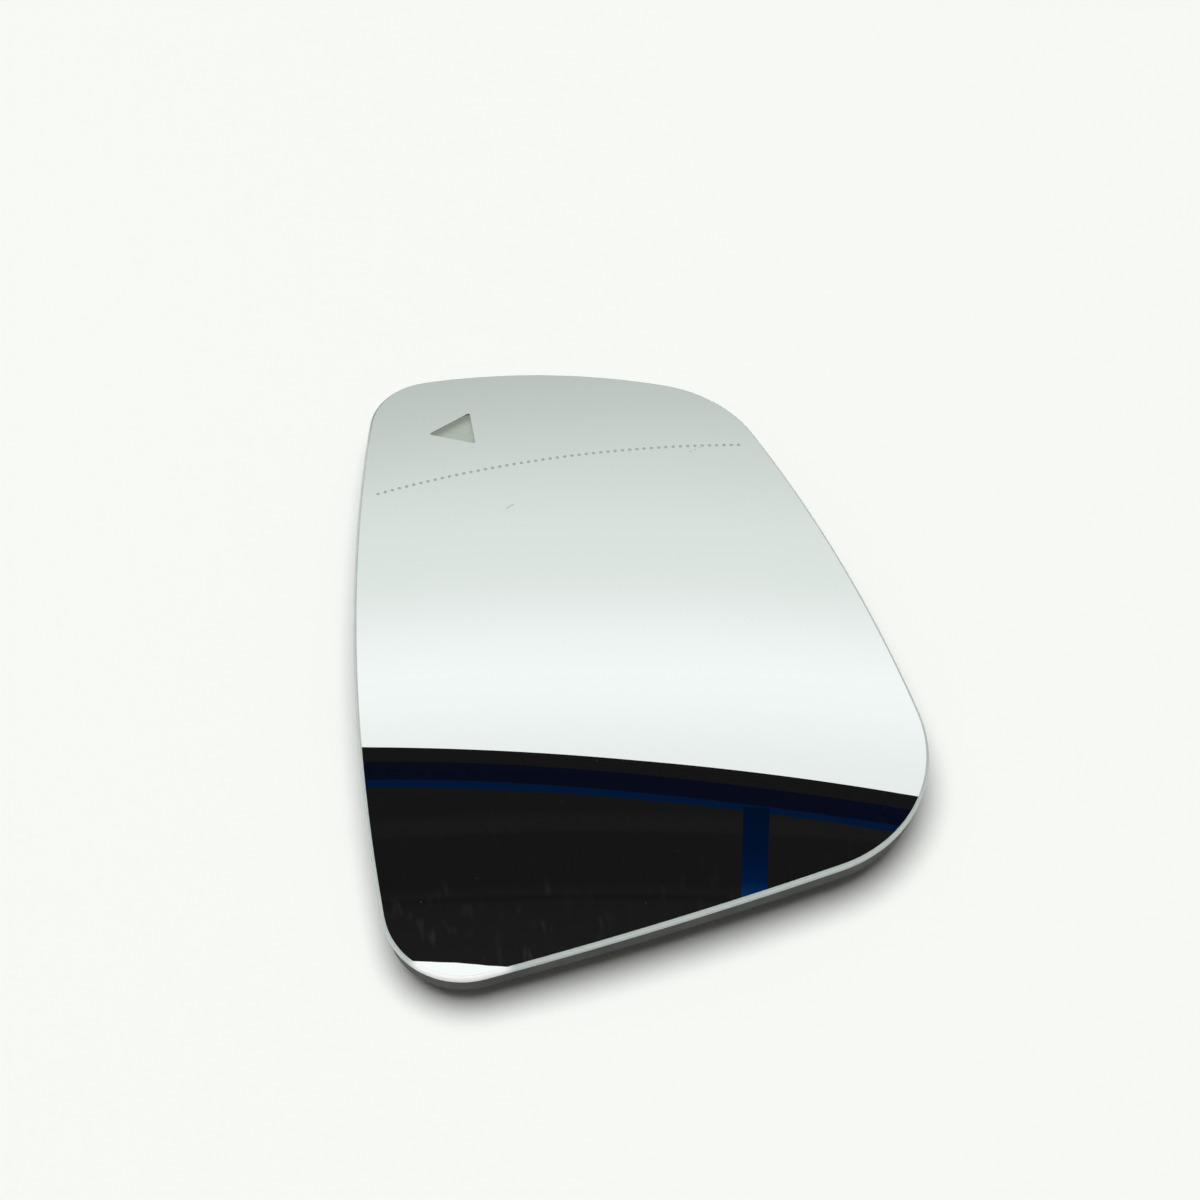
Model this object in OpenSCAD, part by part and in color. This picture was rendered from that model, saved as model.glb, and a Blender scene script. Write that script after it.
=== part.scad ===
// Heated, convex mirror glass of a car's right-hand door mirror, with its carrier plate.
// It lies on the rim of its rear collar with the reflecting face up (+Z). +Y points to the
// outboard end and +X to the lower edge as it is worn, so the upper edge is at -X. All in mm.

/* [Glass] */
// Width of the glass, from its upper edge to its lower edge as worn
glass_w = 143; // [139:1:150]
// Length of the glass, from its inboard end to its outboard end
glass_l = 191.4; // [188:0.2:200]
// Thickness of the glass itself
glass_t = 2.3; // [1.9:0.1:2.8]
// Height of the face's highest point above the table
top_z = 19.6; // [19:0.1:21]
// Radius of the convex main zone
dome_r = 1250; // [1150:50:1400]
// Radius of the tighter outboard zone, past the dotted line
outboard_r = 650; // [550:50:750]
// Drawn thickness of the reflecting coating
coat_t = 0.12; // [0.1:0.01:0.2]
// Width of the ground edge that the coating leaves free
edge_w = 1.2; // [1:0.1:1.6]

/* [Marks in the coating] */
// Number of dots in the dotted line
dot_count = 51; // [31:2:53]
// Distance between two dots
dot_pitch = 2; // [1.8:0.1:2]
// Diameter of a dot
dot_d = 0.76; // [0.6:0.02:1]
// Distance from the outboard end to the middle of the dotted line
line_from_end = 37; // [35:0.1:38]
// Length of the base of the warning triangle
tri_base = 12.3; // [10:0.1:13]
// Height of the warning triangle, from base to tip
tri_h = 12.4; // [10:0.1:13]

/* [Layers behind the glass] */
// Thickness of the heater film
film_t = 0.3; // [0.24:0.02:0.4]
// Thickness of the bonding pad
pad_t = 0.6; // [0.4:0.1:0.8]
// Thickness of the carrier plate
plate_t = 2; // [1.6:0.1:2.2]
// How far the carrier plate stands back from the glass edge
plate_inset = 1; // [0.6:0.1:1.6]
// Depth of the carrier's rim behind its plate
rim_depth = 1.6; // [1:0.1:2.4]
// Depth of the ribs behind the plate
rib_depth = 3; // [2:0.1:4]

/* [Collar and sockets] */
// Inner diameter of the collar that takes the mirror drive
collar_d = 61.6; // [58:0.2:64]
// Wall of the collar
collar_wall = 2.2; // [1.8:0.1:2.6]
// Length of the collar's wide mouth, which centres the drive
mouth_l = 5.5; // [5:0.1:5.5]
// Bore of the pivot cup that holds its ball socket
pivot_d = 17; // [16:0.2:18]
// Diameter of the ball recess in the pivot socket
ball_d = 10.4; // [9:0.1:10.6]
// Distance of the two spindle sockets from the pivot
spindle_offset = 21; // [20:0.5:22]

/* [Warning light] */
// Distance from the back of the glass to the lens face
lens_drop = 0.4; // [0.4:0.1:0.8]
// Length of the housing along X
house_x = 29; // [28:0.5:30]
// Length of the housing along Y
house_y = 26; // [25:0.5:27]
// Free height between the housing's board and the carrier plate
board_room = 4; // [3.6:0.1:4.4]

/* [Hidden] */
$fn = 64;
dome_fn = 720;

// Depths of the layers below the reflecting face
d_glass = coat_t;
d_film = d_glass + glass_t;
d_pad = d_film + film_t;
d_plate = d_pad + pad_t;
d_back = d_plate + plate_t;
d_rim = d_back + rim_depth;
d_rib = d_back + rib_depth;
track_t = 0.1;

// Corner circles of the outline: inboard upper, inboard lower, outboard lower, outboard upper
corner_r = [20.6, 37.9, 36.6, 17.3];
corner_c = [
    [-glass_w / 2 + 21, -glass_l / 2 + 20.6],
    [glass_w / 2 - 37.9, -glass_l / 2 + 51.9],
    [glass_w / 2 - 58, glass_l / 2 - 47.2],
    [-glass_w / 2 + 32.7, glass_l / 2 - 17.3]
];
// Radii of the four bowed sides between them
side_r = [815, 500, 178, 593];

// Highest point of the dome, and the direction in which the outboard zone starts
dome_x = -5;
line_y = glass_l / 2 - line_from_end;
zone_y = line_y - 0.6;
zone_sin = 0.28;
zone_cos = 0.96;
tilt = asin(zone_sin) - asin(zone_y / dome_r);

// Bowed line of dots: its radius and middle, and how far it is turned
dot_arc_r = 352;
dot_arc_x = dome_x + 1.3;
dot_turn = -0.47;

// Warning triangle, its tip to the upper edge
tri_x = -glass_w / 2 + 43.6;
tri_y = glass_l / 2 - 21.5;
tri_fillet = 0.5;
window_grow = 2.2;
seal_r = 11.5;
seal_c = [tri_x - tri_h * 0.42, tri_y];

// Collar, sockets and ribs
hub = [-5, -4];
collar_r = collar_d / 2;
slot_w = 5;
slot_top = 9;
spring_r = 0.7;
spring_z = 2.4;
cup_wall = 1.5;
cup_z = mouth_l + 1.1;
spindle_d = 7;
rib_w = 1.4;
finger_r = 25.5;

// Heater terminals, between the collar and the inboard end
term_x = [-15, 5];
term_y = -60;
term_w = 6.3;
term_window = [11, 10];

// Printed heater tracks
track_w = 1.4;
bus_inset = 6;
bus_w = 1.6;
bus_gap = 4;
comb_pitch = glass_l / 12;

// Housing of the warning light
house_c = [tri_x - 4.2, tri_y];
house_wall = 1.4;
board_gap = 0.8;
board_t = 1;
house_z = face_z(house_c) - d_back - board_room - board_t - board_gap - house_wall;
ear_t = 1.8;
ear_z = house_z + 3.2;
ear_c = [
    [house_c[0] + house_x / 2 + 3.4, house_c[1] - 6],
    [house_c[0] - 3, house_c[1] - house_y / 2 - 3.4]
];
screw_r = 1.1;
board_z = house_z + house_wall + board_gap;
flange_t = 1.1;
led_h = 1.2;

// Connector of the light: it stands out of the housing's wall by header_out
header_l = 8.2;
header_w = 7.4;
header_h = board_room - 1.5;
header_out = 2;
header_x = house_c[0] + house_x / 2 + header_out - header_l;
header_y = house_c[1] + 0.6;
board_top = board_z + board_t;
pin_w = 0.64;
pin_x = header_x + 0.9;
pin_y = [header_y + header_w / 2 - 1.5, header_y + header_w / 2 + 1.5];
pin_z = board_top + (header_h - pin_w) / 2;

// Outline of the glass: eight tangent arcs, moved inward by d
function side_c(c1, r1, c2, r2, r) =
    let (a = r - r1, b = r - r2, l = norm(c2 - c1), u = (c2 - c1) / l,
         x = (a * a - b * b + l * l) / (2 * l), h = sqrt(a * a - x * x))
    c1 + u * x + [-u[1], u[0]] * h;
function bearing(v) = atan2(v[1], v[0]);
function arc(c, r, a0, a1, n) =
    let (sweep = (a1 - a0 + 720) % 360)
    [for (i = [0 : n - 1]) c + r * [cos(a0 + sweep * i / n), sin(a0 + sweep * i / n)]];
function outline_points(d) =
    let (o = [for (i = [0 : 3]) side_c(corner_c[i], corner_r[i], corner_c[(i + 1) % 4],
                                       corner_r[(i + 1) % 4], side_r[i])])
    [for (i = [0 : 3])
        let (j = (i + 1) % 4,
             s0 = bearing(corner_c[i] - o[i]), s1 = bearing(corner_c[j] - o[i]),
             s2 = bearing(corner_c[j] - o[j]))
        each concat(arc(o[i], side_r[i] - d, s0, s1, 6), arc(corner_c[j], corner_r[j] - d, s1, s2, 14))];

// Convex polygon, counterclockwise, with its corners rounded to r and grown by g
function rounded(p, r, g = 0, n = 4) =
    let (k = len(p))
    [for (i = [0 : k - 1])
        let (q = p[i], e0 = (q - p[(i + k - 1) % k]) / norm(q - p[(i + k - 1) % k]),
             e1 = (p[(i + 1) % k] - q) / norm(p[(i + 1) % k] - q),
             a0 = bearing([e0[1], -e0[0]]), sweep = (bearing([e1[1], -e1[0]]) - a0 + 720) % 360,
             m = e1 - e0, c = q + m / norm(m) * r / cos(sweep / 2))
        for (j = [0 : n]) c + (r + g) * [cos(a0 + sweep * j / n), sin(a0 + sweep * j / n)]];
function box_points(c, x, y) = [
    c + [-x / 2, -y / 2], c + [x / 2, -y / 2], c + [x / 2, y / 2], c + [-x / 2, y / 2]
];
tri_points = [[tri_x - tri_h, tri_y], [tri_x, tri_y - tri_base / 2], [tri_x, tri_y + tri_base / 2]];

// Height of the face at a point of the outboard zone
function face_z(p) =
    let (n = zone_y / dome_r, k = dome_r - outboard_r, y = p[1] - k * n)
    top_z - dome_r + k * sqrt(1 - n * n) + sqrt(outboard_r * outboard_r - y * y)
        - pow(p[0] - dome_x, 2) / (2 * dome_r);

module outline(d = 0) { polygon(outline_points(d)); }
module prism(d = 0) { linear_extrude(height = top_z + 2) outline(d); }
module triangle(g = 0) { polygon(rounded(tri_points, tri_fillet, g)); }

// The body of revolution that lies d under the face, turned so that its two zones meet at x = 0
module zones(d) {
    intersection() {
        circle(r = dome_r - d, $fn = dome_fn);
        translate([-240, dome_r - 150]) square([240, 250]);
    }
    translate([0, dome_r - outboard_r]) intersection() {
        circle(r = outboard_r - d, $fn = dome_fn);
        translate([0, outboard_r - 150]) square([160, 250]);
    }
}
module spin() {
    translate([dome_x, 0, top_z - dome_r]) rotate([tilt, 0, 0])
        rotate_extrude(angle = 64, start = 58, $fn = dome_fn) rotate(-asin(zone_sin)) children();
}
// Everything below depth d
module below(d) { spin() zones(d); }
// The layer between depths d0 and d1
module layer(d0, d1) {
    spin() difference() {
        zones(d0);
        zones(d1);
    }
}
module at_z(z, h) { translate([0, 0, z]) linear_extrude(height = h) children(); }

// Reflecting coating, with the warning triangle and the dotted line taken out of it
module mirror_coating() {
    color([0.78, 0.81, 0.82]) difference() {
        intersection() {
            prism(edge_w);
            layer(0, coat_t);
        }
        at_z(0, top_z + 3) triangle();
        for (i = [0 : dot_count - 1])
            let (a = dot_turn + (i - (dot_count - 1) / 2) * dot_pitch / dot_arc_r * 180 / PI)
            translate([dot_arc_x + dot_arc_r * sin(a), line_y - dot_arc_r + dot_arc_r * cos(a), 0])
                cylinder(r = dot_d / 2, h = top_z + 3);
    }
}

// Glass, its ground edge drawn in steps
module mirror_glass() {
    color([0.62, 0.72, 0.70, 0.6]) {
        intersection() {
            prism(0.72);
            layer(d_glass, d_film);
        }
        intersection() {
            prism(0.3);
            layer(d_glass + 0.17, d_film - 0.17);
        }
        intersection() {
            prism(0);
            layer(d_glass + 0.5, d_film - 0.5);
        }
    }
}

// Comb pattern of the heater's two printed electrodes
module half_bus(x) {
    intersection() {
        difference() {
            outline(bus_inset);
            outline(bus_inset + bus_w);
        }
        translate([x, -glass_l]) square([glass_w, 2 * glass_l]);
    }
}
module finger(x0, x1, row) { translate([x0, comb_pitch * row + 2]) square([x1 - x0, track_w]); }
module leg(x) { translate([x - bus_w / 2, term_y - glass_l / 2]) square([bus_w, glass_l / 2]); }
module electrode_a() {
    half_bus(hub[0] - bus_gap / 2 - glass_w);
    intersection() {
        outline(bus_inset + 0.4);
        union() {
            for (i = [-3 : 3]) finger(-glass_w / 2, glass_w / 2 - 31.5, i);
            leg(term_x[0]);
        }
    }
}
module electrode_b() {
    half_bus(hub[0] + bus_gap / 2);
    intersection() {
        outline(bus_inset + 0.4);
        union() {
            for (i = [-3 : 2]) finger(20.5 - glass_w / 2, glass_w / 2, i + 0.5);
            finger(tri_x + tri_h, glass_w / 2, 3.5);
            leg(term_x[1]);
        }
    }
}
module heater_electrodes() {
    color([0.72, 0.45, 0.30]) intersection() {
        linear_extrude(height = top_z + 2) {
            electrode_a();
            electrode_b();
        }
        layer(d_film, d_film + track_t);
    }
}
module heater_film() {
    color([0.80, 0.62, 0.30, 0.9]) difference() {
        intersection() {
            prism(2);
            layer(d_film, d_pad);
        }
        at_z(0, top_z + 3) triangle(window_grow);
        intersection() {
            linear_extrude(height = top_z + 2) {
                electrode_a();
                electrode_b();
            }
            layer(d_film - 0.5, d_film + track_t);
        }
    }
}

// Windows in the pad and the plate for the two terminals
module term_windows(g = 0) {
    for (x = term_x) polygon(rounded(box_points([x, term_y], term_window[0], term_window[1]), 1, g));
}
module bond_pad() {
    color([0.16, 0.16, 0.17]) difference() {
        intersection() {
            prism(plate_inset + 1.2);
            layer(d_pad, d_plate);
        }
        at_z(0, top_z + 3) term_windows(0.6);
        translate([seal_c[0], seal_c[1], 0]) cylinder(r = seal_r, h = top_z + 3);
    }
}
module window_seal() {
    color([0.07, 0.07, 0.07]) difference() {
        intersection() {
            translate([seal_c[0], seal_c[1], 0]) cylinder(r = seal_r, h = top_z + 2);
            layer(d_pad, d_plate);
        }
        at_z(0, top_z + 3) triangle(window_grow);
    }
}

// Carrier plate: plate, rim, ribs, collar, cups and bosses in one moulding
module keep_out() {
    polygon(box_points(house_c + [header_out + 2, 0], house_x + 2 * header_out + 5, house_y + 1));
    term_windows(2.2);
}
module ribs() {
    difference() {
        intersection() {
            union() {
                for (a = [15 : 30 : 345]) translate([hub[0], hub[1], 0]) rotate(a)
                    translate([collar_r + 1, -rib_w / 2, 0]) cube([130, rib_w, top_z]);
                linear_extrude(height = top_z) difference() {
                    outline(14);
                    outline(14 + rib_w);
                }
            }
            layer(d_back - 0.4, d_rib);
            prism(plate_inset + 0.6);
        }
        linear_extrude(height = top_z) keep_out();
    }
}
module cup(c, r, wall, z) {
    translate([c[0], c[1], z]) cylinder(r = r + wall, h = top_z);
}
module spindle_at(a) {
    translate([hub[0] + spindle_offset * cos(a), hub[1] + spindle_offset * sin(a), 0]) children();
}
module carrier_plate() {
    color([0.05, 0.05, 0.055]) difference() {
        union() {
            difference() {
                intersection() {
                    prism(plate_inset);
                    layer(d_plate, d_rim);
                }
                intersection() {
                    prism(plate_inset + 1.6);
                    layer(d_back, d_rim + 1);
                }
            }
            ribs();
            intersection() {
                union() {
                    difference() {
                        translate([hub[0], hub[1], 0]) cylinder(r = collar_r + collar_wall, h = top_z);
                        translate([hub[0], hub[1], -1]) cylinder(r = collar_r, h = mouth_l + 1);
                        translate([hub[0], hub[1], -1]) cylinder(r = collar_r - 0.8, h = top_z + 2);
                        for (a = [45 : 90 : 315]) translate([hub[0], hub[1], -1]) rotate(a)
                            translate([collar_r - 2, -slot_w / 2, 0]) cube([8, slot_w, slot_top + 1]);
                    }
                    cup(hub, pivot_d / 2, cup_wall, cup_z);
                    for (a = [0, 90]) spindle_at(a) translate([0, 0, cup_z + 0.6])
                        cylinder(r = spindle_d / 2 + 1.2, h = top_z);
                    // Forks that keep the glass from turning
                    for (a = [180, 270]) translate([hub[0], hub[1], cup_z - 0.4]) rotate(a) {
                        translate([17, 2, 0]) cube([9, 1.6, top_z]);
                        translate([17, -3.6, 0]) cube([9, 1.6, top_z]);
                    }
                    // Hooks that snap into the drive
                    for (a = [45 : 90 : 315]) translate([hub[0], hub[1], 0]) rotate(a) {
                        translate([finger_r - 0.9, -4, cup_z - 0.8]) cube([1.8, 8, top_z]);
                        translate([finger_r - 0.9, -4, cup_z - 0.8]) cube([3, 8, 1.5]);
                    }
                    // Bosses for the light's screws
                    for (c = ear_c) translate([c[0], c[1], ear_z + ear_t])
                        cylinder(r = 2.6, h = top_z);
                }
                below(d_back - 0.4);
            }
        }
        // Groove for the spring ring
        translate([hub[0], hub[1], spring_z]) rotate_extrude()
            translate([collar_r + collar_wall, 0]) circle(r = spring_r);
        // Bores of the cups
        intersection() {
            union() {
                translate([hub[0], hub[1], -1]) cylinder(r = pivot_d / 2, h = top_z);
                for (a = [0, 90]) spindle_at(a) cylinder(r = spindle_d / 2, h = top_z);
            }
            below(d_back);
        }
        // Windows for the terminals and the warning light
        at_z(0, top_z + 3) {
            term_windows();
            triangle(window_grow);
        }
        // Pilot holes of the bosses
        for (c = ear_c) translate([c[0], c[1], 0]) cylinder(r = screw_r, h = ear_z + ear_t + 4.2);
    }
}

// Ball socket pressed into the pivot cup
socket_top = top_z - d_back - 0.4;
module pivot_socket() {
    color([0.86, 0.85, 0.80]) translate([hub[0], hub[1], 0]) difference() {
        union() {
            translate([0, 0, cup_z]) cylinder(r = pivot_d / 2, h = socket_top - cup_z);
            translate([0, 0, cup_z - 0.8]) cylinder(r = pivot_d / 2 + 1, h = 0.8);
        }
        translate([0, 0, cup_z + 1.2]) sphere(r = ball_d / 2);
        for (a = [0, 90]) rotate(a) translate([-20, -0.6, -1]) cube([40, 1.2, cup_z + 3.6]);
    }
}
// Snap sockets for the heads of the two drive spindles
module spindle_sockets() {
    color([0.86, 0.85, 0.80]) for (a = [0, 90]) spindle_at(a) difference() {
        union() {
            translate([0, 0, cup_z + 0.6]) cylinder(r = spindle_d / 2, h = socket_top - cup_z - 1.1);
            translate([0, 0, cup_z]) cylinder(r = spindle_d / 2 + 0.8, h = 0.6);
        }
        translate([0, 0, cup_z + 1.6]) sphere(r = 2.5);
        rotate(a) translate([-8, -0.5, 0]) cube([16, 1, cup_z + 3]);
    }
}
// Open wire ring that keeps the collar's segments closed on the drive
module collar_spring() {
    color([0.70, 0.70, 0.70]) translate([hub[0], hub[1], spring_z])
        rotate_extrude(angle = 340, start = 100)
            translate([collar_r + collar_wall, 0]) circle(r = spring_r);
}

// Heater terminals: a foot on the film and a blade that stands out of the window
term_foot = 0.5;
module heater_terminals() {
    color([0.83, 0.80, 0.66]) for (x = term_x) {
        intersection() {
            at_z(0, top_z) polygon(box_points([x, term_y], 8, 8));
            layer(d_pad, d_pad + term_foot);
        }
        intersection() {
            translate([x - term_w / 2, term_y - 4, top_z - 15.6]) cube([term_w, 0.8, 14]);
            below(d_pad + term_foot / 2);
        }
    }
}
module terminal_rivets() {
    color([0.75, 0.75, 0.74]) for (x = term_x) intersection() {
        translate([x, term_y + 0.8, 0]) cylinder(r = 1.6, h = top_z);
        layer(d_pad + term_foot, d_pad + term_foot + 0.5);
    }
}

// Warning light: housing, lens, board and connector
module house_box(inset, z) {
    at_z(z, top_z) polygon(rounded(box_points(house_c, house_x, house_y), 3, -inset));
}
module indicator_housing() {
    color([0.08, 0.08, 0.085]) difference() {
        union() {
            intersection() {
                house_box(0, house_z);
                below(d_back);
            }
            for (i = [0, 1]) {
                translate([ear_c[i][0], ear_c[i][1], ear_z]) cylinder(r = 3.2, h = ear_t);
                translate([ear_c[i][0] - (i == 0 ? 6 : 3.2), ear_c[i][1] - (i == 0 ? 3.2 : 0), ear_z])
                    cube([i == 0 ? 6 : 6.4, i == 0 ? 6.4 : 6, ear_t]);
            }
        }
        house_box(house_wall, house_z + house_wall);
        for (c = ear_c) translate([c[0], c[1], ear_z - 1]) cylinder(r = screw_r + 0.2, h = ear_t + 2);
        // Opening for the connector
        translate([header_x + 3, header_y, board_top]) cube([header_l, header_w, header_h]);
    }
    // Posts that the board rests on
    color([0.08, 0.08, 0.085]) for (x = [-9, 9], y = [-8, 8])
        translate([house_c[0] + x, house_c[1] + y, house_z + house_wall - 0.2])
            cylinder(r = 1.2, h = board_gap + 0.2);
}
module indicator_lens() {
    color([0.90, 0.92, 0.88]) {
        intersection() {
            at_z(0, top_z) triangle(window_grow - 0.1);
            layer(d_film + lens_drop, d_back + 1);
        }
        // Flange, relieved over the connector
        difference() {
            intersection() {
                house_box(house_wall + 0.15, 0);
                layer(d_back, d_back + flange_t);
            }
            translate([header_x - 0.3, header_y - 0.3, board_z])
                cube([header_l, header_w + 0.6, board_t + header_h + 0.2]);
        }
    }
}
module indicator_board() {
    color([0.05, 0.30, 0.16]) difference() {
        at_z(board_z, board_t)
            polygon(rounded(box_points(house_c, house_x, house_y), 3, -house_wall - 0.2));
        for (y = pin_y) translate([pin_x, y - pin_w / 2, board_z - 1]) cube([pin_w, pin_w, board_t + 2]);
    }
}
led_c = [[tri_x - 9, tri_y], [tri_x - 3, tri_y - 3.4], [tri_x - 3, tri_y + 3.4]];
module indicator_leds() {
    color([0.92, 0.88, 0.60]) for (c = led_c) translate([c[0] - 1.4, c[1] - 1.75, board_top])
        cube([2.8, 3.5, led_h]);
}
module board_resistors() {
    color([0.10, 0.10, 0.10]) for (x = [-6, -2, 2]) translate([tri_x - 8 + x, tri_y - 9.4, board_top])
        cube([1.6, 3.2, 0.6]);
}
// A pin: up from under the board, then out towards the plug
module pin(y, from) {
    translate([pin_x, y - pin_w / 2, from]) cube([pin_w, pin_w, pin_z + pin_w - from]);
    translate([pin_x, y - pin_w / 2, pin_z]) cube([6.3, pin_w, pin_w]);
}
module header_shell() {
    color([0.88, 0.86, 0.78]) difference() {
        translate([header_x, header_y, board_top]) cube([header_l, header_w, header_h]);
        translate([header_x + 3.6, header_y + 0.8, board_top + 0.5])
            cube([header_l, header_w - 1.6, header_h - 1]);
        for (y = pin_y) pin(y, board_z);
    }
}
module header_pins() {
    color([0.80, 0.78, 0.70]) for (y = pin_y) pin(y, board_z - 0.5);
}
module housing_screws() {
    color([0.72, 0.72, 0.70]) for (c = ear_c) translate([c[0], c[1], 0]) difference() {
        union() {
            translate([0, 0, ear_z - 1.5]) cylinder(r = 2.1, h = 1.5);
            translate([0, 0, ear_z - 0.5]) cylinder(r = screw_r, h = ear_t + 4);
        }
        for (a = [0, 90]) rotate(a) translate([-1.2, -0.3, ear_z - 2]) cube([2.4, 0.6, 1.3]);
    }
}

mirror_coating();
mirror_glass();
heater_film();
heater_electrodes();
bond_pad();
window_seal();
carrier_plate();
pivot_socket();
spindle_sockets();
collar_spring();
heater_terminals();
terminal_rivets();
indicator_housing();
indicator_lens();
indicator_board();
indicator_leds();
board_resistors();
header_shell();
header_pins();
housing_screws();
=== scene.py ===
import math

import bpy
import numpy as np
from mathutils import Matrix, Vector
from mathutils.geometry import delaunay_2d_cdt


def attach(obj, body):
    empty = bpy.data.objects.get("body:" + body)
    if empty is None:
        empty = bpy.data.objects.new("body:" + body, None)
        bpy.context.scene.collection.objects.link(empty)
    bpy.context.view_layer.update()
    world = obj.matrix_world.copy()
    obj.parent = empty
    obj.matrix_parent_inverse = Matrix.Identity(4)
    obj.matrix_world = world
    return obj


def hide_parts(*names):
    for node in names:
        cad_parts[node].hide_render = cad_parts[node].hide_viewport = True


# The looks of a door mirror glass: its reflecting face, ground edge and rear mouldings.
# Shapes are worked out in millimetres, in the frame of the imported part, and stored in metres.

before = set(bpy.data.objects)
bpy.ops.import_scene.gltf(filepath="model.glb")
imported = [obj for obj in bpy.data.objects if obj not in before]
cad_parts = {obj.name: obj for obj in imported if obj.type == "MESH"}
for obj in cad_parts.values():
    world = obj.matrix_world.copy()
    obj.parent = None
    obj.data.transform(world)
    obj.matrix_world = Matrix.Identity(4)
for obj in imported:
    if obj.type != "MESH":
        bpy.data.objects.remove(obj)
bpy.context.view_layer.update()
MM = 0.001

# Driving sizes, as in the part's source
GLASS_W, GLASS_L, GLASS_T = 143.0, 191.4, 2.3
TOP_Z = 19.6
DOME_R, OUTBOARD_R = 1250.0, 650.0
COAT_T = 0.12
DOT_COUNT, DOT_PITCH = 51, 2.0
LINE_FROM_END = 37.0
TRI_BASE, TRI_H, TRI_FILLET = 12.3, 12.4, 0.5
CORNER_R = (20.6, 37.9, 36.6, 17.3)
CORNER_C = tuple(Vector(c) for c in (
    (-GLASS_W / 2 + 21, -GLASS_L / 2 + 20.6),
    (GLASS_W / 2 - 37.9, -GLASS_L / 2 + 51.9),
    (GLASS_W / 2 - 58, GLASS_L / 2 - 47.2),
    (-GLASS_W / 2 + 32.7, GLASS_L / 2 - 17.3),
))
SIDE_R = (815.0, 500.0, 178.0, 593.0)
DOME_X = -5.0
LINE_Y = GLASS_L / 2 - LINE_FROM_END
ZONE_Y = LINE_Y - 0.6
ZONE_SIN, ZONE_COS = 0.28, 0.96
DOT_ARC_R, DOT_ARC_X, DOT_TURN = 352.0, DOME_X + 1.3, math.radians(-0.47)
TRI_X, TRI_Y = -GLASS_W / 2 + 43.6, GLASS_L / 2 - 21.5
D_FILM = COAT_T + GLASS_T

# Two sizes that differ a little from the source's, so that they look as in the photograph:
# the free width beside the coating, and the diameter of a dot
EDGE_W = 0.85
DOT_D = 0.98

# Fineness of the modelled surfaces: steps along arcs and at the triangle's corners, and the rings
# of the round edge, of which the first are the seam
ARC_STEP = 1.6
FILLET_STEPS = 8
EDGE_RINGS = 18
SEAM_RINGS = 4
# The grid inside: its pitch, the distance of its rows, the share of the outline that it fills, and
# its clearance to a hole
GRID = 4.5
GRID_ROW = GRID * 0.87
GRID_SHARE = 0.985
GRID_CLEAR = 0.6

# Places on the part, in metres: dust and a hair on its face, and the corner where a painted
# reflection makes the edge as bright as the face beside it
DUST = [(0.02973, 0.05503, 0.0179), (0.0311, 0.05559, 0.01784), (0.0326, 0.05613, 0.01777)]
HAIR = [
    (-0.02282, 0.04291, 0.01874), (-0.02239, 0.04312, 0.01874), (-0.02188, 0.04339, 0.01873),
    (-0.02141, 0.04366, 0.01873), (-0.02096, 0.04394, 0.01873),
]
PAINTED_REFLECTION_CORNER = [(-0.0613, -0.0924, 0.0145), (-0.0545, -0.0952, 0.0145), (-0.0475, -0.0955, 0.0148)]


def outline(inset):
    """Points of the glass outline, counterclockwise, moved inward, with their outward directions."""
    centres = []
    for i in range(4):
        c1, c2, j = CORNER_C[i], CORNER_C[(i + 1) % 4], (i + 1) % 4
        a, b = SIDE_R[i] - CORNER_R[i], SIDE_R[i] - CORNER_R[j]
        span = (c2 - c1).length
        along = (c2 - c1) / span
        x = (a * a - b * b + span * span) / (2 * span)
        h = math.sqrt(a * a - x * x)
        centres.append(c1 + along * x + Vector((-along.y, along.x)) * h)
    points, outward = [], []

    def arc(centre, radius, start, end):
        sweep = (end - start) % (2 * math.pi)
        steps = max(8, round(radius * sweep / ARC_STEP))
        for k in range(steps):
            angle = start + sweep * k / steps
            d = Vector((math.cos(angle), math.sin(angle)))
            points.append(centre + d * (radius - inset))
            outward.append(d)

    def bearing(v):
        return math.atan2(v.y, v.x)

    for i in range(4):
        j = (i + 1) % 4
        s0 = bearing(CORNER_C[i] - centres[i])
        s1 = bearing(CORNER_C[j] - centres[i])
        s2 = bearing(CORNER_C[j] - centres[j])
        arc(centres[i], SIDE_R[i], s0, s1)
        arc(CORNER_C[j], CORNER_R[j], s1, s2)
    return np.array(points), np.array(outward)


def face_z(xy, depth):
    """Height of the surface that lies depth under the face, and its upward normals."""
    tilt = math.asin(ZONE_SIN) - math.asin(ZONE_Y / DOME_R)
    centre = np.array((DOME_X, 0.0, TOP_Z - DOME_R))
    axis = np.array((0.0, -math.sin(tilt), math.cos(tilt)))
    neck = DOME_R - OUTBOARD_R
    xyz = np.column_stack((xy, np.full(len(xy), TOP_Z - depth)))
    for _ in range(25):
        q = xyz - centre
        high = q @ axis
        radial = q - high[:, None] * axis
        wide = np.linalg.norm(radial, axis=1)
        inner = wide <= ZONE_SIN * np.hypot(wide, high)
        ring = centre + axis * (neck * ZONE_COS) + radial / wide[:, None] * (neck * ZONE_SIN)
        far = np.where(inner[:, None], q, xyz - ring)
        reach = np.linalg.norm(far, axis=1)
        xyz[:, 2] -= reach - np.where(inner, DOME_R, OUTBOARD_R) + depth
    return xyz, far / reach[:, None]


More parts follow.
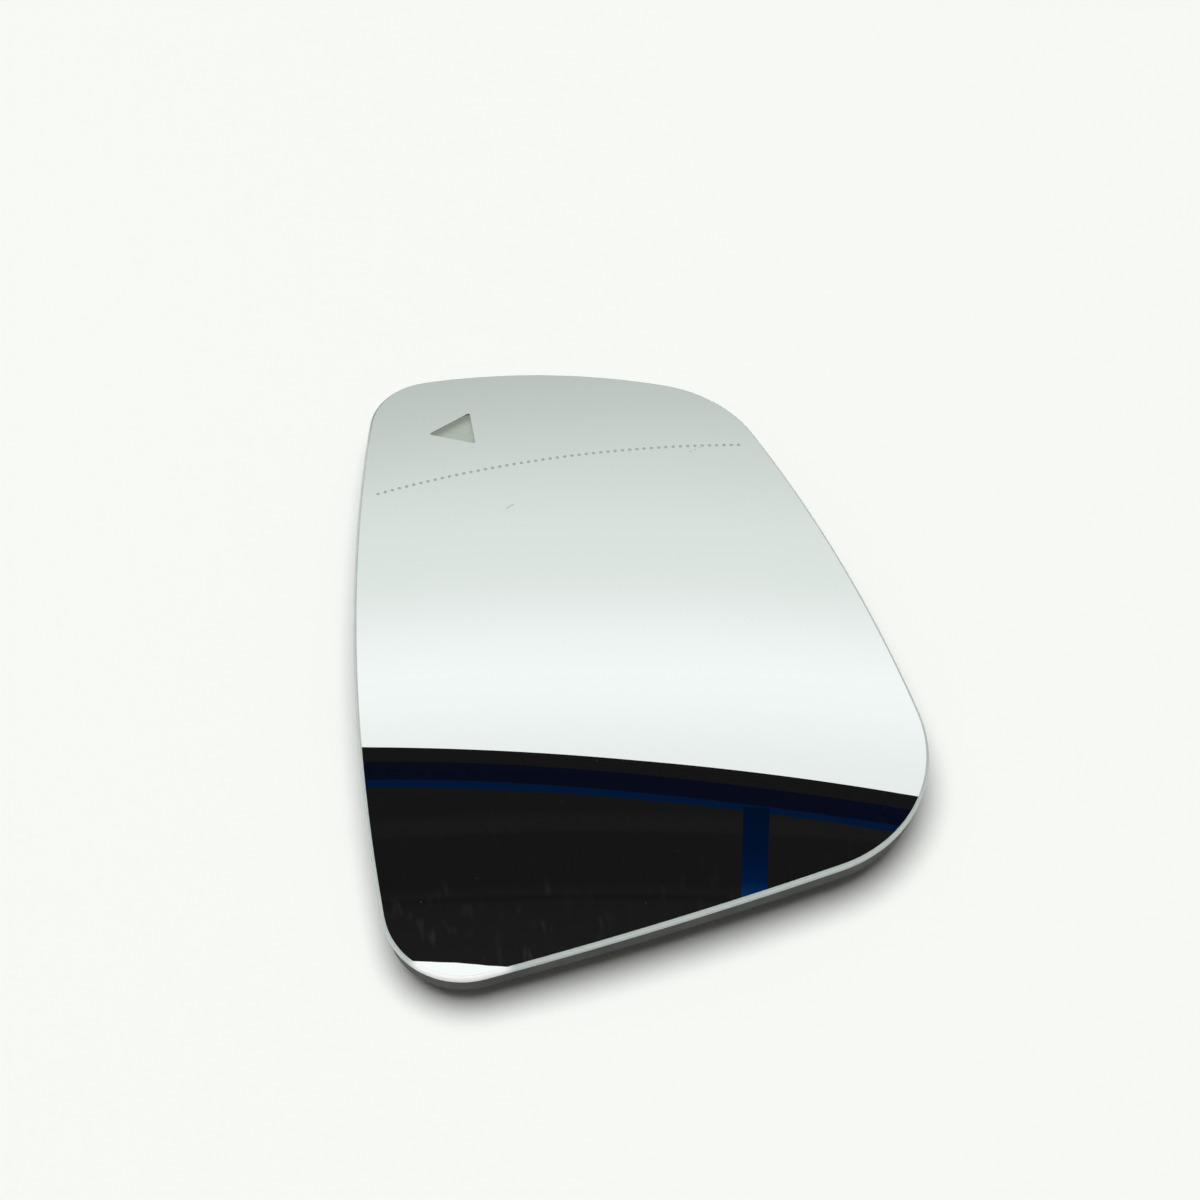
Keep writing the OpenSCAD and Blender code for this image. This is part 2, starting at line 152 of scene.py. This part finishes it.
def rounded_triangle():
    """Outline of the warning triangle, its tip to the upper edge, with small round corners."""
    corners = [
        Vector((TRI_X - TRI_H, TRI_Y)),
        Vector((TRI_X, TRI_Y - TRI_BASE / 2)),
        Vector((TRI_X, TRI_Y + TRI_BASE / 2)),
    ]
    points = []
    for i, q in enumerate(corners):
        before = (q - corners[i - 1]).normalized()
        after = (corners[(i + 1) % 3] - q).normalized()
        start = math.atan2(-before.x, before.y)
        sweep = (math.atan2(-after.x, after.y) - start) % (2 * math.pi)
        inward = (after - before).normalized()
        centre = q + inward * TRI_FILLET / math.cos(sweep / 2)
        for k in range(FILLET_STEPS + 1):
            a = start + sweep * k / FILLET_STEPS
            points.append(centre + TRI_FILLET * Vector((math.cos(a), math.sin(a))))
    return np.array(points)


def dot_centres():
    """Middles of the dots, evenly spaced along their bowed line."""
    for i in range(DOT_COUNT):
        a = DOT_TURN + (i - (DOT_COUNT - 1) / 2) * DOT_PITCH / DOT_ARC_R
        yield Vector((
            DOT_ARC_X + DOT_ARC_R * math.sin(a),
            LINE_Y - DOT_ARC_R + DOT_ARC_R * math.cos(a),
        ))


def dot_outlines(sides=14):
    """Each dot as a closed loop of points."""
    turn = [2 * math.pi * k / sides for k in range(sides)]
    ring = np.array([(math.cos(a), math.sin(a)) for a in turn]) * DOT_D / 2
    return [np.array(c) + ring for c in dot_centres()]


def inside(points, loop):
    """Which points lie in a closed loop."""
    x, y = points[:, 0], points[:, 1]
    odd = np.zeros(len(points), bool)
    for (x0, y0), (x1, y1) in zip(loop, np.roll(loop, -1, axis=0)):
        crosses = (y0 > y) != (y1 > y)
        if crosses.any():
            at = (x1 - x0) * (y - y0) / (y1 - y0 + 1e-300) + x0
            odd ^= crosses & (x < at)
    return odd


def tiles(border, holes):
    """Triangles over a border with loops cut into it: points, triangles, and each one's loop or -1."""
    lo, hi = border.min(0), border.max(0)
    grid = []
    rows = int((hi[1] - lo[1]) / GRID_ROW) + 2
    columns = int((hi[0] - lo[0]) / GRID) + 2
    for r in range(rows):
        for c in range(columns):
            grid.append((lo[0] + (c + 0.5 * (r % 2)) * GRID, lo[1] + r * GRID_ROW))
    grid = np.array(grid)
    centre = border.mean(0)
    keep = inside(grid, centre + (border - centre) * GRID_SHARE)
    for loop in holes:
        middle = loop.mean(0)
        reach = np.linalg.norm(loop - middle, axis=1).max() + GRID_CLEAR
        keep &= np.linalg.norm(grid - middle, axis=1) > reach
    grid = grid[keep]
    loops = [border, *holes]
    points = [Vector(p) for loop in loops for p in loop] + [Vector(p) for p in grid]
    edges, start = [], 0
    for loop in loops:
        edges += [(start + k, start + (k + 1) % len(loop)) for k in range(len(loop))]
        start += len(loop)
    made = delaunay_2d_cdt(points, edges, [], 0, 1e-6)
    xy = np.array([tuple(v) for v in made[0]])
    faces = np.array(made[2])
    middles = xy[faces].mean(1)
    part = np.full(len(faces), -1)
    for k, loop in enumerate(holes):
        part[inside(middles, loop)] = k
    return xy, faces, part, inside(middles, border)


def add_piece(name, points, faces, slots, materials, normals):
    """A mesh object with one normal for each face corner, in millimetres, riding on the part."""
    mesh = bpy.data.meshes.new(name)
    mesh.from_pydata((np.asarray(points) * MM).tolist(), [], [list(map(int, f)) for f in faces])
    mesh.polygons.foreach_set("material_index", np.asarray(slots, np.int32))
    mesh.polygons.foreach_set("use_smooth", np.ones(len(faces), bool))
    for m in materials:
        mesh.materials.append(m)
    mesh.validate()
    mesh.normals_split_custom_set([tuple(n) for n in normals])
    piece = bpy.data.objects.new(name, mesh)
    bpy.context.scene.collection.objects.link(piece)
    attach(piece, "root")
    return piece


def ccw(xy, faces):
    """The same triangles, all counterclockwise seen from above."""
    a, b, c = (xy[faces[:, k]] for k in range(3))
    turned = (b[:, 0] - a[:, 0]) * (c[:, 1] - a[:, 1]) - (b[:, 1] - a[:, 1]) * (c[:, 0] - a[:, 0]) < 0
    faces = faces.copy()
    faces[turned] = faces[turned][:, ::-1]
    return faces


# Materials


class Look:
    """A Principled material with short ways to add procedural detail."""

    def __init__(self, name, color, roughness, metallic=0.0, specular=0.5):
        self.material = bpy.data.materials.new(name)
        self.material.use_nodes = True
        self.tree = self.material.node_tree
        self.shader = self.tree.nodes["Principled BSDF"]
        self.set("Base Color", (*color, 1))
        self.set("Roughness", roughness)
        self.set("Metallic", metallic)
        self.set("Specular IOR Level", specular)
        self.place = self.node("ShaderNodeTexCoord").outputs["Object"]
        self.height = None

    def set(self, socket, value):
        self.shader.inputs[socket].default_value = value

    def node(self, kind, **values):
        made = self.tree.nodes.new(kind)
        for key, value in values.items():
            if hasattr(made, key):
                setattr(made, key, value)
            else:
                made.inputs[key.replace("_", " ")].default_value = value
        return made

    def link(self, output, socket):
        self.tree.links.new(output, socket)

    def noise(self, scale, detail=3.0, stretch=(1, 1, 1)):
        mapping = self.node("ShaderNodeMapping")
        mapping.inputs["Scale"].default_value = stretch
        self.link(self.place, mapping.inputs["Vector"])
        noise = self.node("ShaderNodeTexNoise", Scale=scale, Detail=detail)
        self.link(mapping.outputs[0], noise.inputs["Vector"])
        return noise.outputs["Fac"]

    def along(self, axis):
        """Place on the part along an axis, in metres."""
        split = self.node("ShaderNodeSeparateXYZ")
        self.link(self.place, split.inputs[0])
        return split.outputs[axis]

    def spread(self, source, low, high, start=0.3, end=0.7):
        """source from start to end becomes low to high."""
        ranged = self.node("ShaderNodeMapRange")
        for key, value in (("From Min", start), ("From Max", end), ("To Min", low), ("To Max", high)):
            ranged.inputs[key].default_value = value
        self.link(source, ranged.inputs["Value"])
        return ranged.outputs["Result"]

    def math(self, operation, a, b=None):
        node = self.node("ShaderNodeMath", operation=operation)
        for socket, value in zip(node.inputs, (a, b)):
            if value is None:
                continue
            if isinstance(value, (int, float)):
                socket.default_value = value
            else:
                self.link(value, socket)
        return node.outputs[0]

    def tint(self, mask, color):
        """Lays color over the base colour where mask is 1."""
        mix = self.node("ShaderNodeMix", data_type="RGBA")
        base = self.shader.inputs["Base Color"]
        if base.links:
            self.link(base.links[0].from_socket, mix.inputs["A"])
        else:
            mix.inputs["A"].default_value = base.default_value
        mix.inputs["B"].default_value = (*color, 1)
        self.link(mask, mix.inputs["Factor"])
        self.link(mix.outputs["Result"], base)

    def rough(self, source):
        self.link(source, self.shader.inputs["Roughness"])

    def bump(self, source, distance, strength=1.0):
        """Adds relief of that depth in metres."""
        bump = self.node("ShaderNodeBump", Strength=strength, Distance=distance)
        self.link(source, bump.inputs["Height"])
        if self.height is not None:
            self.link(self.height, bump.inputs["Normal"])
        self.height = bump.outputs[0]
        self.link(self.height, self.shader.inputs["Normal"])

    def near(self, points, radius):
        """1 close to any of some points of the part, given in metres."""
        found = None
        for p in points:
            gap = self.node("ShaderNodeVectorMath", operation="DISTANCE")
            gap.inputs[1].default_value = p
            self.link(self.place, gap.inputs[0])
            one = self.spread(gap.outputs["Value"], 1, 0, radius * 0.7, radius * 1.2)
            found = one if found is None else self.math("MAXIMUM", found, one)
        return found


def plastic(name, color, roughness, grain=2200, depth=0.00002, fleck=0.3, specular=0.5):
    """Moulded plastic: fine grain, a cloudy finish and slightly uneven colour."""
    look = Look(name, color, roughness, specular=specular)
    look.bump(look.noise(grain, 4), depth)
    look.rough(look.spread(look.noise(90, 3), roughness - 0.08, roughness + 0.1))
    darker = tuple(c * (1 - fleck) for c in color)
    look.tint(look.spread(look.noise(55, 5), 0, 1), darker)
    return look


def metal(name, color, roughness, stretch=(1, 1, 1), scale=900):
    """Metal with fine marks from drawing or pressing, dulled in patches."""
    look = Look(name, color, roughness, metallic=1.0)
    marks = look.noise(scale, 5, stretch)
    look.rough(look.spread(marks, roughness - 0.1, roughness + 0.14))
    look.bump(marks, 0.000008)
    look.tint(look.spread(look.noise(240, 4), 0, 0.5), tuple(c * 0.72 for c in color))
    return look


def coating_look():
    """Front-surface chrome: cool grey, all but perfectly smooth, with dust, a hair and drips."""
    look = Look("chrome_coating", (0.885, 0.935, 0.912), 0.015, metallic=1.0)
    haze = look.spread(look.noise(28, 4), 0.001, 0.006)
    specks = look.near(DUST + HAIR, 0.00022)
    fine = look.spread(look.noise(1500, 2), 0, 1, 0.80, 0.83)
    marks = look.math("MAXIMUM", specks, fine)
    look.tint(look.math("MULTIPLY", marks, 0.75), (0.36, 0.38, 0.36))
    look.rough(look.math("ADD", haze, look.math("MULTIPLY", marks, 0.3)))
    # Short dried drips near the inboard end: they show where the face mirrors something dark
    drips = look.spread(look.noise(480, 1, (1, 0.28, 1)), 0, 0.016, 0.58, 0.74)
    inboard = look.spread(look.along("Y"), 1, 0.06, -0.086, -0.066)
    upper = look.spread(look.along("X"), 1, 0.3, -0.036, -0.016)
    patches = look.spread(look.noise(60, 2), 0.2, 1, 0.4, 0.6)
    for mask in (inboard, upper, patches):
        drips = look.math("MULTIPLY", drips, mask)
    dull = look.math("ADD", drips, look.math("MULTIPLY", marks, 0.25))
    look.link(look.math("SUBTRACT", 1.0, dull), look.shader.inputs["Metallic"])
    return look.material


def paint_corner_reflection(look):
    """Paints a reflection of white light on the edge at one corner."""
    look.tint(look.near(PAINTED_REFLECTION_CORNER, 0.0055), (0.97, 0.98, 0.97))


def ground_edge_look():
    """Ground glass: matt, grey green and slightly streaked along the edge."""
    look = Look("ground_edge", (0.53, 0.59, 0.565), 0.36, specular=0.6)
    streak = look.noise(420, 5, (1, 1, 6))
    look.tint(look.spread(streak, 0, 0.7), (0.62, 0.67, 0.65))
    look.rough(look.spread(look.noise(900, 4), 0.32, 0.55))
    look.bump(look.noise(3800, 3), 0.00001)
    # Painted reflection: the edge turns near white at one corner
    paint_corner_reflection(look)
    return look.material


def seam_look():
    """Fine seam between the coating and the ground edge; painted shade makes it nearly black at the
    outboard end.
    """
    look = Look("seam", (0.42, 0.47, 0.45), 0.3, specular=0.4)
    look.tint(look.spread(look.noise(800, 4), 0, 0.6), (0.50, 0.55, 0.53))
    # Painted shade: towards the outboard end the seam turns nearly black
    look.tint(look.spread(look.along("Y"), 0, 1, 0.074, 0.09), (0.08, 0.09, 0.085))
    look.rough(look.spread(look.noise(300, 3), 0.22, 0.42))
    # Painted reflection: the seam turns near white at one corner
    paint_corner_reflection(look)
    return look.material


def etched_look():
    """Laser-etched bottom of a dot."""
    look = Look("etched_dot", (0.31, 0.33, 0.32), 0.6)
    look.tint(look.spread(look.noise(3000, 3), 0, 0.6), (0.41, 0.43, 0.42))
    look.bump(look.noise(5000, 3), 0.00001)
    return look.material


def clear_glass_look():
    """Polished glass of the triangle's window: it lets light straight through and shines a little."""
    look = Look("clear_glass", (0.9, 0.97, 0.94), 0.02)
    tree = look.tree
    through = look.node("ShaderNodeBsdfTransparent")
    through.inputs["Color"].default_value = (0.90, 0.955, 0.925, 1)
    shine = look.node("ShaderNodeBsdfGlossy")
    look.link(look.spread(look.noise(60, 3), 0.01, 0.03), shine.inputs["Roughness"])
    fresnel = look.node("ShaderNodeFresnel", IOR=1.52)
    mix = look.node("ShaderNodeMixShader")
    front = look.math("SUBTRACT", 1.0, look.node("ShaderNodeNewGeometry").outputs["Backfacing"])
    look.link(look.math("MULTIPLY", fresnel.outputs[0], front), mix.inputs[0])
    look.link(through.outputs[0], mix.inputs[1])
    look.link(shine.outputs[0], mix.inputs[2])
    output = next(n for n in tree.nodes if n.type == "OUTPUT_MATERIAL")
    look.link(mix.outputs[0], output.inputs["Surface"])
    return look.material


def film_look():
    """Amber heater film with a faint printed net."""
    look = Look("heater_film", (0.62, 0.36, 0.10), 0.28)
    net = look.node("ShaderNodeTexBrick", Scale=420.0)
    look.link(look.place, net.inputs["Vector"])
    look.tint(look.math("MULTIPLY", net.outputs["Fac"], 0.5), (0.22, 0.12, 0.05))
    look.rough(look.spread(look.noise(140, 3), 0.2, 0.38))
    look.bump(look.noise(300, 2), 0.00001)
    return look.material


def foam_look(name, color):
    """Closed-cell foam: small open cells on its cut edge."""
    look = Look(name, color, 0.85, specular=0.3)
    cells = look.node("ShaderNodeTexVoronoi", Scale=2600.0)
    look.link(look.place, cells.inputs["Vector"])
    look.bump(cells.outputs["Distance"], 0.00005)
    # Painted shade: the hollows of the cells are darkened
    look.tint(look.spread(cells.outputs["Distance"], 0.8, 0, 0, 0.6), tuple(c * 0.4 for c in color))
    return look.material


def board_look():
    """Circuit board: solder mask over fine tracks."""
    look = Look("circuit_board", (0.015, 0.11, 0.05), 0.3)
    tracks = look.node("ShaderNodeTexBrick", Scale=260.0)
    look.link(look.place, tracks.inputs["Vector"])
    look.tint(tracks.outputs["Fac"], (0.03, 0.19, 0.09))
    look.rough(look.spread(look.noise(160, 3), 0.2, 0.42))
    look.bump(tracks.outputs["Fac"], 0.00003)
    return look.material


def dress_cad_nodes():
    """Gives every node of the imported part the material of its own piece."""
    black = plastic("black_moulding", (0.022, 0.022, 0.024), 0.46)
    housing = plastic("housing_moulding", (0.030, 0.030, 0.033), 0.4, grain=2800)
    acetal = plastic("acetal", (0.78, 0.76, 0.70), 0.34, grain=1500, fleck=0.06)
    lens_with_painted_glow = plastic("milky_lens_painted_glow", (0.35, 0.32, 0.31), 0.35, grain=900, fleck=0.05)
    lens_with_painted_glow.set("Subsurface Weight", 0.9)
    lens_with_painted_glow.set("Subsurface Radius", (1.0, 1.0, 0.9))
    lens_with_painted_glow.set("Subsurface Scale", 0.005)
    # Painted light: the unlit lens glows faintly, so that it looks lit through its window
    lens_with_painted_glow.set("Emission Color", (0.95, 0.95, 0.88, 1))
    lens_with_painted_glow.set("Emission Strength", 0.255)
    header = plastic("header_moulding", (0.76, 0.71, 0.58), 0.4, fleck=0.08)
    looks = {
        "heater_film": film_look(),
        "heater_electrodes": metal("silver_ink", (0.66, 0.65, 0.63), 0.5).material,
        "bond_pad": foam_look("bond_foam", (0.030, 0.030, 0.032)),
        "window_seal": foam_look("seal_foam", (0.022, 0.022, 0.022)),
        "carrier_plate": black.material,
        "pivot_socket": acetal.material,
        "spindle_sockets": acetal.material,
        "collar_spring": metal("spring_wire", (0.56, 0.55, 0.53), 0.3, (1, 1, 12)).material,
        "heater_terminals": metal("tinned_brass", (0.72, 0.69, 0.62), 0.34, (1, 1, 8)).material,
        "terminal_rivets": metal("rivet_metal", (0.70, 0.70, 0.69), 0.36).material,
        "indicator_housing": housing.material,
        "indicator_lens": lens_with_painted_glow.material,
        "indicator_board": board_look(),
        "indicator_leds": plastic("led_phosphor", (0.82, 0.70, 0.18), 0.3, fleck=0.1).material,
        "board_resistors": plastic("resistor_body", (0.02, 0.02, 0.02), 0.35).material,
        "header_shell": header.material,
        "header_pins": metal("pin_plating", (0.80, 0.66, 0.34), 0.25, (8, 1, 1)).material,
        "housing_screws": metal("zinc_plate", (0.62, 0.62, 0.60), 0.3).material,
    }
    for name, material in looks.items():
        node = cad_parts[name]
        node.data.materials.clear()
        node.data.materials.append(material)


def make_coating(holes):
    """The reflecting skin, with the triangle and the dots open in it."""
    border, _ = outline(EDGE_W)
    xy, faces, part, within = tiles(border, holes)
    faces = ccw(xy, faces[(part < 0) & within])
    used, faces = np.unique(faces, return_inverse=True)
    faces, xy = faces.reshape(-1, 3), xy[used]
    top, up = face_z(xy, 0.0)
    low, _ = face_z(xy, COAT_T)
    count = len(xy)
    edge_use = {}
    for f in faces:
        for a, b in ((f[0], f[1]), (f[1], f[2]), (f[2], f[0])):
            edge_use[(a, b)] = True
    rim = [(a, b) for a, b in edge_use if (b, a) not in edge_use]
    walls = [(b, a, a + count, b + count) for a, b in rim]
    points = np.vstack((top, low))
    normals = [up[v] for f in faces for v in f]
    normals += [-up[v] for f in faces for v in f[::-1]]
    for a, b in rim:
        out = np.array((xy[b][1] - xy[a][1], xy[a][0] - xy[b][0], 0.0))
        normals += [out / np.linalg.norm(out)] * 4
    every = [tuple(f) for f in faces] + [tuple(f[::-1] + count) for f in faces] + walls
    piece = add_piece("mirror_face", points, every, [0] * len(every), [coating_look()], normals)
    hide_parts("mirror_coating")


def make_glass(holes):
    """The glass, with a round ground edge and a clear window at the triangle."""
    radius = GLASS_T / 2
    border, _ = outline(radius)
    xy, faces, part, within = tiles(border, holes)
    faces, part = ccw(xy, faces[within]), part[within]
    top, up = face_z(xy, COAT_T)
    low, _ = face_z(xy, D_FILM)
    count, ring = len(xy), len(border)
    points = [top, low]
    _, outward = outline(0)
    out3 = np.column_stack((outward, np.zeros(ring)))
    rings, ring_normals = [np.arange(ring)], [up[:ring]]
    for k in range(1, EDGE_RINGS):
        a = math.pi * k / EDGE_RINGS
        layer, lift = face_z(outline(radius * (1 - math.sin(a)))[0], COAT_T + radius * (1 - math.cos(a)))
        rings.append(np.arange(ring) + 2 * count + (k - 1) * ring)
        points.append(layer)
        ring_normals.append(lift * math.cos(a) + out3 * math.sin(a))
    rings.append(np.arange(ring) + count)
    ring_normals.append(-up[:ring])
    every = [tuple(f) for f in faces] + [tuple(f[::-1] + count) for f in faces]
    normals = [up[v] for f in faces for v in f] + [-up[v] for f in faces for v in f[::-1]]
    looks = [ground_edge_look(), clear_glass_look(), etched_look(), seam_look()]
    edge, window, etched, seam = range(len(looks))
    slots = list(np.where(part == 0, window, np.where(part > 0, etched, edge)))
    slots += [window] * len(faces)
    for k in range(EDGE_RINGS):
        for i in range(ring):
            j = (i + 1) % ring
            around = ((k, i), (k + 1, i), (k + 1, j), (k, j))
            every.append(tuple(rings[r][c] for r, c in around))
            normals += [ring_normals[r][c] for r, c in around]
            slots.append(seam if k < SEAM_RINGS else edge)
    piece = add_piece("glass_body", np.vstack(points), every, slots, looks, normals)
    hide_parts("mirror_glass")


# Studio: camera, the flats that show in the mirror, floor and lights

# Camera place and aim in millimetres, and its lens for a 36 mm sensor
CAMERA_AT = (-72.87, -402.86, 562.83)
CAMERA_AIM = (-3.13, 9.40, 16.9)
LENS = 78.575
# Plane of the flats: its centre and its two directions, square to the mirrored line of sight
FLAT_AT = Vector((197.5, 1159.7, 1634.5))
FLAT_U = Vector((0.986, -0.165, 0.0))
FLAT_V = Vector((-0.133, -0.791, 0.597))
# Half side of the floor, and the distances over which it turns into the backdrop, in metres
FLOOR_HALF = 2.6
FADE_START, FADE_END = 0.55, 2.0
# Colours of the floor, of the backdrop and of the weaker, warmer fill light
FLOOR = (0.90, 0.915, 0.893)
BACKDROP = (0.93, 0.945, 0.925)
FILL = (0.130, 0.129, 0.116)
# Place of the overhead light, its diameter and its power, in metres and watts
LAMP_AT, LAMP_SIZE, LAMP_POWER = (-0.42, 0.12, 6.0), 5.2, 386.0


def show_in_reflections(mesh):
    """An object that only glossy rays see."""
    card = bpy.data.objects.new(mesh.name, mesh)
    bpy.context.scene.collection.objects.link(card)
    for ray in ("camera", "diffuse", "transmission", "volume_scatter", "shadow"):
        setattr(card, "visible_" + ray, False)
    return card


def flat(name, corners, material, lift=0.0):
    """A studio flat, seen only in reflections. Its corners are millimetres along the plane."""
    toward = FLAT_U.cross(FLAT_V).normalized()
    mesh = bpy.data.meshes.new(name)
    points = [(u * MM, v * MM, lift * MM) for u, v in corners]
    mesh.from_pydata(points, [], [tuple(range(len(corners)))])
    mesh.materials.append(material)
    card = show_in_reflections(mesh)
    basis = (FLAT_U.normalized(), toward.cross(FLAT_U.normalized()), toward)
    turn = Matrix(basis).transposed().to_4x4()
    card.matrix_world = Matrix.Translation(FLAT_AT * MM) @ turn


def glow(name, stops, axis="Y"):
    """Light of a flat, by its place along an axis of its own: pairs of millimetres and a colour."""
    material = bpy.data.materials.new(name)
    material.use_nodes = True
    tree = material.node_tree
    tree.nodes.clear()
    place = tree.nodes.new("ShaderNodeTexCoord")
    split = tree.nodes.new("ShaderNodeSeparateXYZ")
    ranged = tree.nodes.new("ShaderNodeMapRange")
    ramp = tree.nodes.new("ShaderNodeValToRGB")
    light = tree.nodes.new("ShaderNodeEmission")
    output = tree.nodes.new("ShaderNodeOutputMaterial")
    low, high = stops[0][0], stops[-1][0]
    ranged.inputs["From Min"].default_value = low * MM
    ranged.inputs["From Max"].default_value = high * MM
    tree.links.new(place.outputs["Object"], split.inputs[0])
    tree.links.new(split.outputs[axis], ranged.inputs["Value"])
    tree.links.new(ranged.outputs[0], ramp.inputs[0])
    tree.links.new(ramp.outputs["Color"], light.inputs["Color"])
    tree.links.new(light.outputs[0], output.inputs["Surface"])
    while len(ramp.color_ramp.elements) < len(stops):
        ramp.color_ramp.elements.new(0.5)
    for element, (v, color) in zip(ramp.color_ramp.elements, stops):
        element.position = (v - low) / (high - low)
        element.color = (*color, 1)
    return material


def grey(level, green=0.0):
    """A grey of that level. A share of green turns red down by it, and blue by 0.6 of it."""
    return (level * (1 - green), level, level * (1 - 0.6 * green))


def make_flats():
    """What the face mirrors: a pale wall that fades upwards, and a dark gap with a blue strip."""
    wall = glow("pale_wall", [
        (-1500, grey(0.35, 0.05)), (-690, grey(0.575, 0.048)), (-547, grey(0.63, 0.046)),
        (-382, grey(0.715, 0.043)), (-245, grey(0.805, 0.038)), (-150, grey(0.83, 0.03)),
        (-100, grey(0.86, 0.015)), (0, grey(0.96)), (67, grey(1.0)), (128, grey(0.985)),
        (228, grey(0.915)), (300, grey(0.89)),
    ])
    border = [(-2200, 20), (-393, 205), (60, 248), (513, 286), (2200, 420)]
    flat("pale_wall", [(-2200, -1500), (2200, -1500), *reversed(border)], wall)
    gap = glow("dark_gap", [
        (20, grey(0.009, -0.08)), (345, grey(0.008, -0.1)), (362, grey(0.0102, -0.08)),
        (384, grey(0.0102, -0.08)), (394, grey(0.008, -0.1)), (490, grey(0.0078, -0.1)),
        (510, grey(0.0102, -0.1)), (520, grey(0.0075, -0.1)), (530, grey(0.0098, -0.1)),
        (550, grey(0.0104, -0.1)), (700, grey(0.0125, -0.1)),
    ])
    flat("dark_gap", [*border, (2200, 900), (-150, 660), (-2200, 433)], gap)
    blue = glow("blue_strip", [(250, (0.001, 0.0085, 0.036)), (360, (0.001, 0.0085, 0.036))])
    bar = glow("blue_bar", [
        (334, (0.0007, 0.0055, 0.02)), (420, (0.0006, 0.006, 0.027)), (480, (0.0006, 0.009, 0.045)),
        (540, (0.003, 0.035, 0.14)),
    ])
    navy = glow("navy_band", [(200, (0.0035, 0.004, 0.0095)), (360, (0.002, 0.0035, 0.0125))])
    band = [
        (900, 362), (520, 352), (347, 338), (222, 327), (98, 315), (-25, 303), (-148, 291),
        (-270, 280), (-354, 273), (-600, 255),
    ]
    strip_depths = (14, 14, 13, 13, 14, 14, 15, 16, 16, 16)
    navy_depth = 36
    strip = band + [(u, v + d) for (u, v), d in reversed(list(zip(band, strip_depths)))]
    flat("blue_strip", strip, blue, 2)
    flat("navy_band", band + [(u, v - navy_depth) for u, v in reversed(band)], navy, 1)
    flat("blue_bar", [(243, 334), (289, 334), (289, 700), (243, 700)], bar, 3)
    pale = glow("pale_edge", [(400, grey(1.04)), (1500, grey(1.04))])
    below = [(-2200, 433), (-150, 660), (-60, 900), (2200, 900), (2200, 1600), (-2200, 1600)]
    flat("pale_edge", below, pale)


def make_surround():
    """The rest of the studio, as a tall ring that only reflections see."""
    sides, radius, high = 48, 5.0, 7.0
    turns = [2 * math.pi * k / sides for k in range(sides)]
    points = [(radius * math.cos(a), radius * math.sin(a), z) for z in (0, high) for a in turns]
    faces = [(k, (k + 1) % sides, sides + (k + 1) % sides, sides + k) for k in range(sides)]
    mesh = bpy.data.meshes.new("surround")
    mesh.from_pydata(points, [], faces)
    mesh.materials.append(glow("surround", [
        (0, grey(0.86)), (350, grey(0.80)), (1100, grey(0.63)), (2300, grey(0.46)), (3600, grey(0.42)),
        (4600, grey(0.64)), (7000, grey(0.90)),
    ], "Z"))
    show_in_reflections(mesh)


def make_floor():
    """A pale floor. Far from the part it turns into the backdrop, so that no edge shows."""
    side = FLOOR_HALF
    corners = [(-side, -side, 0), (side, -side, 0), (side, side, 0), (-side, side, 0)]
    mesh = bpy.data.meshes.new("floor")
    mesh.from_pydata(corners, [], [(0, 1, 2, 3)])
    floor = bpy.data.objects.new("floor", mesh)
    bpy.context.scene.collection.objects.link(floor)
    look = Look("floor", FLOOR, 0.9, specular=0.1)
    look.rough(look.spread(look.noise(30, 2), 0.85, 0.95))
    far = look.node("ShaderNodeVectorMath", operation="LENGTH")
    look.link(look.place, far.inputs[0])
    fade = look.spread(far.outputs["Value"], 0, 1, FADE_START, FADE_END)
    look.tint(fade, (0, 0, 0))
    look.set("Emission Color", (*BACKDROP, 1))
    look.link(fade, look.shader.inputs["Emission Strength"])
    mesh.materials.append(look.material)


def make_light(name, at, size, power):
    """A round soft light that looks at the part and shows in no reflection."""
    lamp = bpy.data.lights.new(name, "AREA")
    lamp.shape = "DISK"
    lamp.size = size
    lamp.energy = power
    holder = bpy.data.objects.new(name, lamp)
    holder.location = at
    holder.rotation_mode = "QUATERNION"
    holder.rotation_quaternion = (-Vector(at)).to_track_quat("-Z", "Y")
    holder.visible_glossy = False
    bpy.context.scene.collection.objects.link(holder)


def make_world():
    """The backdrop for camera rays and reflections, and the fill light for all others."""
    world = bpy.data.worlds.new("studio")
    bpy.context.scene.world = world
    world.use_nodes = True
    tree = world.node_tree
    path = tree.nodes.new("ShaderNodeLightPath")
    seen = path.outputs["Is Camera Ray"]
    for ray in ("Is Glossy Ray", "Is Transmission Ray"):
        either = tree.nodes.new("ShaderNodeMath")
        either.operation = "MAXIMUM"
        tree.links.new(seen, either.inputs[0])
        tree.links.new(path.outputs[ray], either.inputs[1])
        seen = either.outputs[0]
    mix = tree.nodes.new("ShaderNodeMix")
    mix.data_type = "RGBA"
    mix.inputs["A"].default_value = (*FILL, 1)
    mix.inputs["B"].default_value = (*BACKDROP, 1)
    tree.links.new(seen, mix.inputs["Factor"])
    tree.links.new(mix.outputs["Result"], tree.nodes["Background"].inputs["Color"])


def make_camera():
    """The camera, at the photograph's angle."""
    data = bpy.data.cameras.new("camera")
    data.sensor_width = 36.0
    data.lens = LENS
    camera = bpy.data.objects.new("camera", data)
    camera.location = Vector(CAMERA_AT) * MM
    aim = Vector(CAMERA_AIM) - Vector(CAMERA_AT)
    camera.rotation_mode = "QUATERNION"
    camera.rotation_quaternion = aim.to_track_quat("-Z", "Y")
    bpy.context.scene.collection.objects.link(camera)
    bpy.context.scene.camera = camera


make_camera()
openings = [rounded_triangle(), *dot_outlines()]
make_coating(openings)
make_glass(openings)
dress_cad_nodes()
make_flats()
make_surround()
make_floor()
make_light("overhead", LAMP_AT, LAMP_SIZE, LAMP_POWER)
make_world()
bpy.context.scene.view_settings.view_transform = "Standard"
